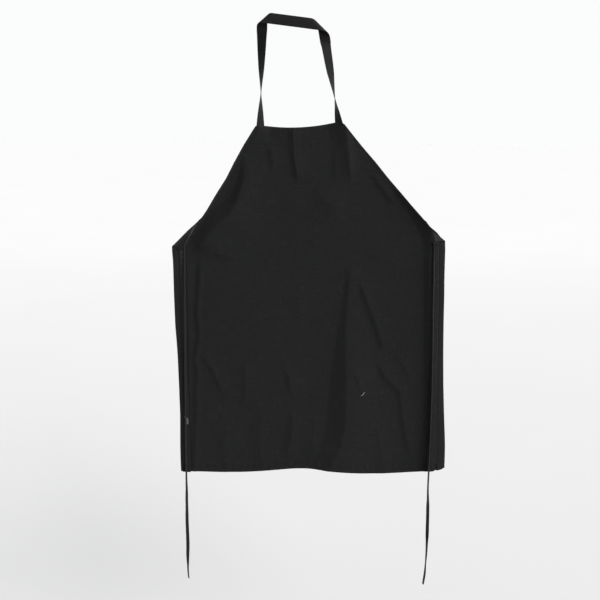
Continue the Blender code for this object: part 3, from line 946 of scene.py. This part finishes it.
def make_flap(side, name):
    rows = (WAIST - 0.7, WAIST - 24, 12), (WAIST - 28, ROLL - LENGTH, 118)
    v = np.concatenate([np.linspace(*some) for some in rows])[:, None]
    angles, into, rise = half_roll(ROLL, 8)
    share = np.linspace(0, 1, 17)[1:]
    outer = fold_u(side, v)
    u = [edge_u(side, v) - side * into, outer + (free_u(side, v) - outer) * share]
    y = [fold_y(side, v) - rise, flap_y(side, v, share)]
    # On the left flap, painted light grows towards the free edge and further down, lifting the
    # tie's shadow; the right flap has plain wear.
    lower = 1 + 0.7 * smooth((WAIST - v) / 500.0)
    wear_and_painted_shading = {-1: (0.5 + 0.6 * share) * lower, 1: np.full((len(v), len(share)), 0.15)}[side]
    wear_and_painted_light = np.concatenate([np.full((len(v), len(angles)), 0.8), wear_and_painted_shading], axis=1)
    # A painted shadow darkens the flap's top edge, under the folded corner.
    wear_and_painted_light = wear_and_painted_light * 0.5 - 0.9 * bell(WAIST - v, 2.6)
    uv = paired(side * np.concatenate([330 + ROLL * angles, 334 + 28 * share]), v)
    grid = on_apron(np.concatenate(u, axis=1), v, np.concatenate(y, axis=1))
    flap = make_shell(grid, THICK, uv, wear_and_painted_light, name + "_flap", CLOTH)

    middle_y = float(np.mean(fold_y(side, np.linspace(-300, -850, 12))))
    start = Vector(in_world(side * 329.0, -570.0, middle_y).tolist()) * MM
    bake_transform(flap)
    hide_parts(name + "_side_flap")


def make_side_hem(side, name):
    """The hem along the flap's free edge, on the face that shows, and the strip at its foot."""
    v = np.linspace(WAIST - 1.0, -LENGTH + 0.6, 190)
    line = np.stack([free_u(side, v), v], axis=1)
    outward = normals(line, side)
    surface = lambda u, v: under_point(side, u, v)
    lift = lambda into: 0.35 * smooth(into / 3.0)
    low = down_flap(v)
    # On the left, the flat hem is painted paler, most near the top, to lift the tie's shadow, and
    # the roll is painted darker towards the foot as painted shade; the right hem has plain wear.
    bright = {-1: (0.2 - 0.4 * low, 0.95 - 0.8 * smooth(low * 1.3)), 1: (0.3, 0.2)}[side]
    pucker = wavy(31 + side, 0.6, 15.0)
    build = Build()
    turned_band(build, line, outward, surface, 12.0, -1, HEM_ROLL, pucker, 8, lift, bright)
    # Its foot: the bottom hem carries on across the flap.
    first, last = edge_u(side, -859.0) - side * 5.0, side * (FREE_EDGE + 9.0)
    foot = np.linspace((first, 0.3 - LENGTH), (last, 0.3 - LENGTH), 14)
    turned_band(build, foot, UP, surface, HEM_WIDTH, -1, 0.8, wavy(41 + side, 0.3), 5)
    build.make(name + "_flap_hem", CLOTH, name + "_flap", name + "_side_hem")


def make_corner(side, name):
    """The triangle of cloth that is folded forward above the flap, and its hem's edge, painted
    bright as a highlight.
    """
    ridge = dense(RIDGE[side], 1.0, 5)
    line = ARMHOLE[side]
    line = line[line[:, 1] <= ridge[0, 1] + 0.2]
    t = np.linspace(0, 1, 34)
    pick = lambda p: np.stack([np.interp(t, np.linspace(0, 1, len(p)), q) for q in p.T], axis=1)
    outer, inner = pick(line), pick(ridge)
    base = panel_y(outer[:, 0] - side * ROLL, outer[:, 1])
    front = base + (flap_front(side, WAIST) - 1.4 - base) * smooth(t * 1.25)
    fade = np.minimum(1.0, t * 6)
    columns = []  # points, y, wear and UVs, from the fold to the free edge
    for a, into, rise in zip(*half_roll(ROLL, 6)):
        p = outer - fade[:, None] * (side * into, 0)
        columns.append((p, base - rise * fade, 0.8 + 0 * t, outer + 0.5 * a))
    start = base - 2 * ROLL * fade
    across = np.linalg.norm(inner - outer, axis=1)
    hem_from = 1 - np.minimum(0.55, 5.2 / np.maximum(across, 0.1))
    low = smooth((t - 0.35) / 0.4)
    bend, near_fold = {-1: (2.6, 0.30), 1: (1.1, 0.85)}[side]
    for s in np.linspace(0, 1, 23)[1:]:
        p = outer + (inner - outer) * s
        y = start + (front - start) * ((1 - low) * s + low * s**bend)
        on_hem = smooth((s - hem_from) / 0.07)
        lip = -1.5 * on_hem + 1.8 * np.clip((s - hem_from) / (1.001 - hem_from), 0, 1) ** 2
        # Painted light: the hem along the ridge is painted paler as a highlight, and the right
        # facet pale all over; on the left, painted shade darkens the lower pocket towards the
        # ridge, and the cloth by the fold is painted paler.
        wear_and_painted_shading = 0.7 + 0.3 * on_hem
        if side < 0:
            wear_and_painted_shading = 0.35 - 0.65 * low * s + near_fold * (1 - s) * low + 0.7 * on_hem
        columns.append((p, y + lip * fade, wear_and_painted_shading, p + (400, 0)))
    # The free edge turns under.
    for k, (into, down) in enumerate([(0.5, 0.6), (0.3, 1.6), (-0.8, 2.2), (-2.6, 2.3)]):
        p = inner - (side * into, 0.0)
        columns.append((p, front + 0.3 * fade + down * fade, 0.8 + 0 * t, p + (402 + k, 0)))
    p, y, wear_and_painted_light, uv = (np.stack(values, axis=1) for values in zip(*columns))
    grid = on_apron(p[..., 0], p[..., 1], y)
    make_shell(grid, 0.75, uv, wear_and_painted_light, name + "_folded_corner", CLOTH, "panel")


for side, name in SIDES:
    make_flap(side, name)
    make_side_hem(side, name)
    make_corner(side, name)

# --- Stitching ---


def seam_line(v, inset, count):
    """A level line across the panel, inset from both edges."""
    return np.linspace((edge_u(-1, v) + inset, v), (edge_u(1, v) - inset, v), count)


def make_stitching():
    build = Build()
    sew(build, seam_line(BOTTOM_SEAM, 30, 240), -0.35, 2 * ROLL)
    build.make("bottom_thread", THREAD, "panel", "bottom_stitching")

    build = Build()
    sew(build, seam_line(BIB_SEAM, 12, 120), -0.4, 2 * ROLL + BIB_HEM_LIFT)
    build.make("bib_thread", THREAD, "panel", "bib_stitching")

    for side, name in SIDES:
        line, inward = armhole_points(side, -4.0, -266.0, 3)
        build = Build()
        sew(build, line + inward * ARMHOLE_SEAM, -0.3, 2 * ROLL, skip=18)
        build.make(name + "_armhole_thread", THREAD, "panel", name + "_armhole_stitching")

        v = np.linspace(WAIST - 12, -LENGTH + 3, 200)
        line = np.stack([free_u(side, v) + side * 10.0, v], axis=1)
        build = Build()
        stitches(build, line, lambda u, v: hem_face(side, u, v) - 0.35, -1, rise=0.35)
        stitches(build, line, lambda u, v: under_point(side, u, v) + THICK / 2, 1)
        build.make(name + "_flap_thread", THREAD, name + "_flap", name + "_side_stitching")


make_stitching()

# --- Neck strap ---

STRAP_WIDTH = 25.0
STRAP_THICK = 1.3
WRAP_RADIUS = 7.25
BAND_SLOPE = math.radians(-6.7)
FOLD_REACH = {-1: 66.5, 1: 64.6}
STRAP_SEAM = 93.6
STRAP_TAIL = 35.0
LEG_TURN = {
    -1: [
        (0, 0), (0.05, 20), (0.2, 37), (0.335, 50), (0.385, 54.5), (0.44, 61), (0.47, 65),
        (0.52, 72), (0.57, 78.5), (0.635, 86), (0.7, 93), (0.77, 104), (0.835, 114), (1, 135),
    ],
    1: [
        (0, 0), (0.05, 24), (0.17, 34), (0.255, 38), (0.315, 42), (0.385, 47.5), (0.476, 60),
        (0.55, 69.5), (0.623, 79), (0.685, 86), (0.735, 93), (0.797, 101), (0.87, 114), (1, 133),
    ],
}


def unit(angle):
    return np.array([math.cos(angle), math.sin(angle)])


def ease(keys, at):
    """A smooth curve through (share, value) pairs, by Catmull-Rom in value."""
    shares, values = zip(*keys)
    n = len(shares)
    i = min(max(np.searchsorted(shares, at) - 1, 0), n - 2)
    span = shares[i + 1] - shares[i]
    t = min(max((at - shares[i]) / span, 0.0), 1.0)
    slope = lambda a, b: (values[b] - values[a]) / max(shares[b] - shares[a], 1e-9) * span
    rise_in, rise_out = slope(max(i - 1, 0), i + 1), slope(i, min(i + 2, n - 1))
    t2, t3 = t * t, t * t * t
    curve = (2 * t3 - 3 * t2 + 1) * values[i] + (t3 - 2 * t2 + t) * rise_in
    return curve + (-2 * t3 + 3 * t2) * values[i + 1] + (t3 - t2) * rise_out


class StrapSide:
    """Half of the strap: out along the band, round the hanger's shoulder and down to its seam."""

    def __init__(self, side):
        self.side = side
        self.out = unit(BAND_SLOPE) * side
        self.up = unit(BAND_SLOPE + math.pi / 2)
        self.middle = side * STRAP_SEAM - BIB_SHIFT
        top = float(np.interp(self.middle, TOP_EDGE[:, 0], TOP_EDGE[:, 1]))
        seam = in_world(self.middle, top, 0.0)[[0, 2]]
        leg = np.array([0.0, -1.0])
        # The fold's direction and the leg's depend on each other, and settle in a few rounds.
        for _ in range(30):
            self.axis = self.out + leg
            self.axis /= np.linalg.norm(self.axis)
            normal = self.out - self.axis * (self.out @ self.axis)
            self.normal = normal / np.linalg.norm(normal)
            self.centre = self.out * FOLD_REACH[side] - self.normal * WRAP_RADIUS
            rate = self.out @ self.normal
            self.wrap_start = (self.centre @ self.normal) / rate
            self.wrap_end = self.wrap_start + math.pi * WRAP_RADIUS / rate
            run = seam - self.rolled(self.out * self.wrap_end)[[0, 2]]
            length = np.linalg.norm(run)
            leg = run / length
        spread = STRAP_WIDTH / 2 * abs(self.up @ self.normal) / rate
        self.low, self.level = self.wrap_start - spread, self.wrap_end + spread
        self.end = self.wrap_end + length
        self.across = self.up - self.normal * 2 * (self.up @ self.normal)
        edge = unit(TILT)
        self.end_across = edge if self.across @ edge > 0 else -edge

    def rolled(self, flat):
        off = flat - self.centre
        out = off @ self.normal
        along = self.centre + self.axis * (off @ self.axis)
        turn = min(max(out / WRAP_RADIUS, 0.0), math.pi)
        past = out - turn * WRAP_RADIUS
        place = along + self.normal * (WRAP_RADIUS * math.sin(turn) + past * math.cos(turn))
        return np.array([place[0], -WRAP_RADIUS * math.cos(turn), place[1]])

    def surface(self, distance, across):
        if distance <= self.level:
            p = self.rolled(self.out * distance + self.up * across * STRAP_WIDTH)
            if abs(distance) < self.wrap_start:
                # The band bows over the hanger's rounded front.
                p[1] -= 0.5 * math.cos(math.pi * across)
            return p
        if distance > self.end:
            return self.tail(distance - self.end, across)
        share = (distance - self.level) / (self.end - self.level)
        turn = math.radians(ease(LEG_TURN[self.side], share))
        middle = self.rolled(self.out * distance)
        target = panel_y(self.middle, 0.0) + 2.2
        middle[1] += (target - WRAP_RADIUS) * smooth(share)
        middle[1] += 3.0 * math.sin(math.pi * share) ** 2
        flat = self.across + (self.end_across - self.across) * smooth(share)
        flat = flat / np.linalg.norm(flat) * math.cos(turn)
        edge = np.array([flat[0], -math.sin(turn), flat[1]])
        # The tape cups a little where it twists.
        cup = 0.6 * math.sin(math.pi * share) * (1 - 4 * across * across)
        side_way = np.array([math.sin(turn), 0.0, 0.0])
        return middle + edge * across * STRAP_WIDTH + side_way * cup

    def tail(self, below, across):
        """The sewn end, which lies on the bib's back; across runs the other way round there."""
        sign = -1.0 if self.end_across @ unit(TILT) > 0 else 1.0
        u = self.middle + sign * across * STRAP_WIDTH
        p = on_apron(u, -below, panel_y(u, -below) + THICK / 2 + STRAP_THICK / 2 + 0.2)
        if below < 14:
            gap = self.surface(self.end, across) - on_apron(u, 0.0, panel_y(u, 0.0) + 1.25)
            p = p + gap * (1 - smooth(below / 14.0))
        return p

    def stations(self):
        found = list(np.linspace(0, self.low, 14)[1:-1])
        found += list(np.linspace(self.low, self.level, 34)[:-1])
        found += list(np.linspace(self.level, self.end, 46)[:-1])
        return found + [self.end + b for b in np.linspace(0, STRAP_TAIL, 18)]


def make_strap():
    left, right = StrapSide(-1), StrapSide(1)
    stations = [-d for d in reversed(left.stations())] + [0.0] + right.stations()
    across = np.array([-0.5, -0.47, -0.42, -0.3, -0.15, 0, 0.15, 0.3, 0.42, 0.47, 0.5])
    thick = np.array([0.7, 1.3, 1.3, 1.25, 1.25, 1.25, 1.25, 1.25, 1.3, 1.3, 0.7])
    grid = [[(left if d < 0 else right).surface(abs(d), a) for a in across] for d in stations]
    uv = paired(across * STRAP_WIDTH, np.array(stations)[:, None])
    wear_and_painted_light = 0.8 * (np.abs(across) > 0.46)
    return make_shell(np.array(grid), thick, uv, wear_and_painted_light, "neck_strap_tape", STRAP_TAPE)


strap = make_strap()
swing = Vector(in_world(-BIB_SHIFT, 6.0, 10.1).tolist()) * MM
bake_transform(strap)
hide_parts("neck_strap", "left_strap_end", "right_strap_end")

# A box of stitches holds each end of the strap and shows on both faces of the bib.
BOX_HALF = 10.5
BOX_TOP, BOX_LOW = -5.0, -31.0
for side, name in SIDES:
    middle = side * STRAP_END - BIB_SHIFT
    left, right = middle - BOX_HALF, middle + BOX_HALF
    over = BIB_HEM_LIFT + 2 * ROLL + 0.9
    build = Build()
    for v in (BOX_TOP, BOX_LOW):
        sew(build, np.linspace((left, v), (right, v), 12), 0.0, over, 2.2, 1.7)
    for u in (left, right):
        sew(build, np.linspace((u, BOX_TOP), (u, BOX_LOW), 12), 0.0, over, 2.4, 1.9)
    build.make(name + "_strap_box_stitch", THREAD, "panel", name + "_strap_bartack")

# --- Waist ties ---

TIE_WIDTH = 8.0
TIE_TOP_Y, TIE_Y, TIE_SETTLE = 0.3, -3.2, 0.12
TIE_ROUTE = {
    -1: [
        (-257.9, -532), (-258, -590), (-258.2, -660), (-258.5, -735), (-258.8, -810),
        (-259, -885), (-259.1, -960), (-259, -1035), (-258.5, -1104), (-258, -1160),
        (-257.9, -1225), (-256.4, -1288), (-256.8, -1325), (-256.6, -1357), (-254.8, -1385),
    ],
    1: [
        (348.2, -514.6), (348.6, -560), (349.3, -630), (350.4, -700), (352, -775), (352.8, -850),
        (352.8, -925), (352.2, -1000), (350.9, -1078), (350.2, -1140), (351.4, -1205),
        (351.6, -1255), (351, -1310), (348.8, -1362), (344.8, -1396),
    ],
}
TIE_TURN = {
    -1: [
        (0, 70), (0.2, 68), (0.45, 72), (0.57, 71), (0.6, 68.5), (0.615, 65), (0.632, 57),
        (0.65, 48.5), (0.677, 44), (0.691, 36), (0.706, 23), (0.725, 12), (0.75, 8), (0.79, 5),
        (0.82, 0), (0.84, -8), (0.857, -20), (0.887, -40), (0.917, -58.5), (0.95, -62.5),
        (1, -66),
    ],
    1: [
        (0, 64), (0.25, 62), (0.5, 72), (0.57, 66), (0.604, 59), (0.634, 61), (0.65, 58),
        (0.664, 53), (0.678, 39), (0.69, 18), (0.7, 4), (0.715, -4), (0.75, -8), (0.781, -16),
        (0.799, -31), (0.816, -52), (0.834, -65), (0.851, -70), (0.869, -74), (0.897, -82),
        (0.925, -71), (0.952, -68.5), (1, -75),
    ],
}


def route_point(side, share):
    """A point of the tie's middle line, by Catmull-Rom through its route."""
    points = np.array(TIE_ROUTE[side], float)
    points = np.concatenate([[points[0] * 2 - points[1]], points, [points[-1] * 2 - points[-2]]])
    place = share * (len(points) - 3)
    i = min(int(place), len(points) - 4)
    t = place - i
    before, a, b, after = points[i : i + 4]
    x, z = 0.5 * (
        2 * a
        + (b - before) * t
        + (2 * before - 5 * a + 4 * b - after) * t * t
        + (3 * a - before - 3 * b + after) * t**3
    )
    y = TIE_TOP_Y + (TIE_Y - TIE_TOP_Y) * float(smooth(share / TIE_SETTLE))
    return np.array([x, y, z])


def make_tie(side, name):
    """A folded tape: two layers whose open edges show as a groove, stitched near one side."""
    shares = np.linspace(0, 1, 260)
    centre = np.array([route_point(side, s) for s in shares])
    turns = np.radians([ease(TIE_TURN[side], s) for s in shares])
    across = np.array([-0.5, -0.46, -0.38, -0.3, 0.0, 0.25, 0.4, 0.47, 0.5])
    thick = np.array([0.8, 1.5, 1.6, 1.35, 1.5, 1.5, 1.6, 1.5, 0.9])
    steps = distances(centre)
    down = steps[:, None]
    wave = 0.25 * np.sin(down / 9.0 + side) + 0.2 * np.sin(down / 23.0)
    narrow = 1.05 - 0.06 * np.sin(down / 40.0) ** 2
    edge = np.stack([np.cos(turns), np.sin(turns), 0 * turns], axis=1)[:, None]
    flat = np.stack([-np.sin(turns), np.cos(turns), 0 * turns], axis=1)[:, None]
    grid = centre[:, None] + edge * (across * TIE_WIDTH * narrow)[..., None]
    grid += flat * (wave * (1 - np.abs(across)))[..., None]
    uv = paired(across * TIE_WIDTH, down)
    making = name + "_tie_tape", TIE_TAPE, name + "_tie", name + "_waist_tie"
    tie = make_shell(grid, thick, uv, 0.7 * (np.abs(across) > 0.44), *making)


def make_tie_end(side, name):
    """The tie's sewn end, flat on the flap's top corner, and the dense stitches that hold it."""
    down = np.linspace(0, 1, 6)[:, None]
    u = side * (FREE_EDGE + np.linspace(-0.6, 16.0, 18)) + 0 * down
    v = (WAIST - 1.2 - 8.0 * down) + 0 * u
    y = hem_face(side, u, v) - 0.35 - 0.7 - 0.3 * np.sin(math.pi * down)
    grid, uv = on_apron(u, v, y), paired(v, u)
    if side < 0:
        grid, uv = grid[:, ::-1], uv[:, ::-1]
    making = name + "_tie_sewn_end", TIE_TAPE, name + "_flap", name + "_tie_end"
    make_shell(grid, 1.0, uv, -0.3, *making)
    above = lambda u, v: hem_face(side, u, v) - 0.35 - 1.4 - 0.2
    build = Build()
    for k in range(4):
        u = side * (FREE_EDGE + 7.2 + k * 0.9)
        line = np.linspace((u, WAIST - 2.2), (u, WAIST - 8.4), 6)
        stitches(build, line, above, -1, 1.9, 1.6, 0.5, 0.25)
    build.make(name + "_tie_tack", THREAD, name + "_flap", name + "_tie_bartack")


for side, name in SIDES:
    make_tie(side, name)
    make_tie_end(side, name)

# --- Label and a stray fibre ---


def make_label():
    r, c = np.linspace(0, 1, 16)[:, None], np.linspace(0, 1, 8)
    first = -319.2 + 5.4 * smooth(r * 1.5)
    last = -309.0 + 0.7 * np.sin(math.pi * r) - 2.2 * (1 - smooth(r / 0.25))
    u = first + (last - first) * c
    v = -714.5 - 19.5 * r - 2.5 * c * (1 - r)
    curl = 0.55 * np.sin(math.pi * r) * c + 0.7 * c * c
    grid = in_world(u, v, hem_face(-1, u, v) - 0.75 - curl)
    make_shell(grid, 0.3, paired(u, v), 0, "care_tag", LABEL, "left_flap", "care_label")


def make_fibre():
    t = np.linspace(0, 1, 22)
    u = 122.0 + 10.6 * t + 0.5 * np.sin(5 * t)
    v = -670.5 + 9.6 * t + 0.5 * np.sin(7 * t + 1)
    centre = in_world(u, v, panel_y(u, v) - THICK / 2 - 0.5 - 0.5 * np.sin(3 * t))
    radius = 0.36 * np.sqrt(np.clip(np.sin(math.pi * np.clip(t, 0.03, 0.97)), 0.05, 1))
    angles = np.linspace(0, 2 * math.pi, 6, endpoint=False)[:, None]
    back = np.array([0.0, 1.0, 0.0])
    across = np.cross(edge_frame(centre), back)[:, None]
    offset = across * np.cos(angles) + back * np.sin(angles)
    build = Build()
    build.add(centre[:, None] + offset * radius[:, None, None], tube_faces(len(t), len(angles)))
    build.make("stray_fibre", LINT, "panel")


make_label()
make_fibre()

# --- A list of the pieces that ride the panel ---

on_panel = ["bib_top_hem", "bottom_turned_hem", "bib_thread", "bottom_thread"]
for side, name in SIDES:
    on_panel += [name + "_armhole_hem", name + "_armhole_thread", name + "_folded_corner"]
